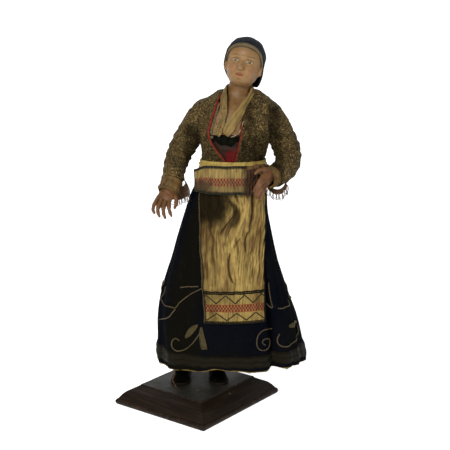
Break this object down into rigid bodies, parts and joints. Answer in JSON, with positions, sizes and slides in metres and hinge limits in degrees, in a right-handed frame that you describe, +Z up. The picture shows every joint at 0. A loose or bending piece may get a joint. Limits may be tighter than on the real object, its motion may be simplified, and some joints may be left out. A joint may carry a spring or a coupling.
{
  "type": "presepe figure",
  "caption": "Neapolitan crib figure of a peasant woman in real cloth, with skirt, apron, jacket and cap, on a moulded wooden plinth.",
  "frame": {"origin": "centre of the plinth's flat underside", "axes": "+Z up, -Y the way the figure faces, +X towards the figure's left hand; the plinth is turned 52.7 degrees about Z, so that one of its corners points forward"},
  "size_m": [0.2163, 0.1878, 0.4075],
  "materials": {
    "plinth_wood": "worn dark varnish",
    "shoe_paint": "black paint on carved wood",
    "navy_cloth": "dark navy cloth with couched gold cord",
    "apron_silk": "stained cream silk with braids",
    "sash_silk": "yellow silk",
    "red_silk": "red silk with a dark band",
    "brocade": "olive-brown boucle brocade with gold flecks",
    "cream_silk": "cream silk",
    "painted_terracotta": "painted terracotta",
    "cap_silk": "blue-black silk",
    "painted_wood": "flesh paint on carved wood",
    "cuff_silk": "golden-brown silk",
    "lace_thread": "tarnished metal-thread lace"
  },
  "bodies": {
    "root": {"plinth": "plinth_wood", "right_leg": "shoe_paint", "left_leg": "shoe_paint", "skirt": "navy_cloth", "apron": "apron_silk", "apron_flap": "apron_silk", "sash": "sash_silk", "bodice": "red_silk", "jacket": "brocade", "kerchief": "cream_silk", "head": "painted_terracotta", "cap": "cap_silk", "right_hand": "painted_wood", "left_hand": "painted_wood", "right_cuff": "cuff_silk", "left_cuff": "cuff_silk", "right_cuff_lace": "lace_thread", "left_cuff_lace": "lace_thread"}
  },
  "joints": []
}
